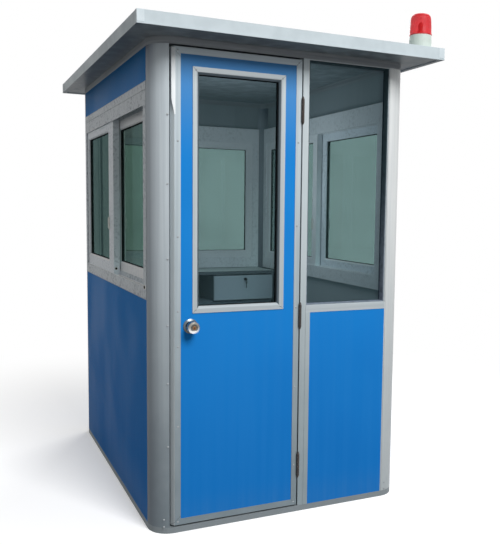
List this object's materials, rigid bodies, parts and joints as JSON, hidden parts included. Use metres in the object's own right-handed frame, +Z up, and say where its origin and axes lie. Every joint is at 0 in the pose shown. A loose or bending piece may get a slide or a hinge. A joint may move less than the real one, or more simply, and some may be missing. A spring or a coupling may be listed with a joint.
{
  "type": "security guard booth",
  "caption": "Small panel-built security guard booth with a hinged glazed door, fixed light, sliding side windows, an inside desk with a drawer and a roof beacon.",
  "frame": {"origin": "on the ground under the middle of the cabin and its roof", "axes": "+Z up, the front with the door faces -Y, +X to the right of somebody facing the front"},
  "size_m": [1.49, 2.09, 2.426],
  "materials": {
    "silver_profile": "anodised matt silver",
    "blue_panel": "blue coated steel sheet, satin",
    "grey_panel": "pale grey coated steel sheet, satin",
    "roof_sheet": "pale grey coated steel sheet, satin",
    "window_plastic": "off-white plastic profile",
    "pane_glass": "clear float glass",
    "black_rubber": "black glazing rubber",
    "dark_hinge": "dark brown painted steel",
    "stainless": "brushed stainless steel",
    "desk_board": "light grey laminated board",
    "beacon_white": "white moulded plastic",
    "beacon_red": "translucent red moulded plastic"
  },
  "bodies": {
    "booth": {"base_frame": "silver_profile", "floor_panel": "grey_panel", "post_front_left": "silver_profile", "post_front_right": "silver_profile", "post_rear_left": "silver_profile", "post_rear_right": "silver_profile", "top_rail": "silver_profile", "roof_panel": "roof_sheet", "roof_edge": "roof_sheet", "door_mullion": "silver_profile", "fixed_panel": "blue_panel", "fixed_panel_strip": "silver_profile", "fixed_light_sill": "silver_profile", "fixed_light_glazing": "black_rubber", "fixed_light_glass": "pane_glass", "door_stop": "silver_profile", "frame_hinges": "dark_hinge", "desk_top": "desk_board", "desk_carcass": "desk_board", "beacon_base": "beacon_white", "beacon_dome": "beacon_red", "sash_pulls": "window_plastic", "left_lower_panel": "blue_panel", "left_upper_panel": "blue_panel", "left_window_frame": "window_plastic", "left_outer_sash": "window_plastic", "left_inner_sash": "window_plastic", "left_window_panes": "pane_glass", "right_lower_panel": "blue_panel", "right_upper_panel": "blue_panel", "right_window_frame": "window_plastic", "right_outer_sash": "window_plastic", "right_inner_sash": "window_plastic", "right_window_panes": "pane_glass", "rear_lower_panel": "blue_panel", "rear_upper_panel": "blue_panel", "rear_window_frame": "window_plastic", "rear_outer_sash": "window_plastic", "rear_inner_sash": "window_plastic", "rear_window_panes": "pane_glass"},
    "door": {"door_leaf": "blue_panel", "door_edge_frame": "silver_profile", "door_window_trim": "silver_profile", "door_glass": "pane_glass", "door_hinges": "dark_hinge", "lock_roses": "stainless"},
    "knob": {"door_knob": "stainless"},
    "drawer": {"desk_drawer": "desk_board", "drawer_lock": "stainless"}
  },
  "joints": [
    {"name": "door_hinge", "type": "hinge", "parent": "booth", "child": "door", "pos_m": [0.064, -0.893, 1.1], "axis": [0, 0, 1], "range_deg": [0, 165]},
    {"name": "knob_turn", "type": "hinge", "parent": "door", "child": "knob", "pos_m": [-0.4745, -0.885, 0.946], "axis": [0, -1, 0], "range_deg": [-60, 60], "stiffness_Nm_per_rad": 0.4},
    {"name": "drawer_slide", "type": "slide", "parent": "booth", "child": "drawer", "axis": [0, -1, 0], "range_m": [0, 0.2]}
  ]
}
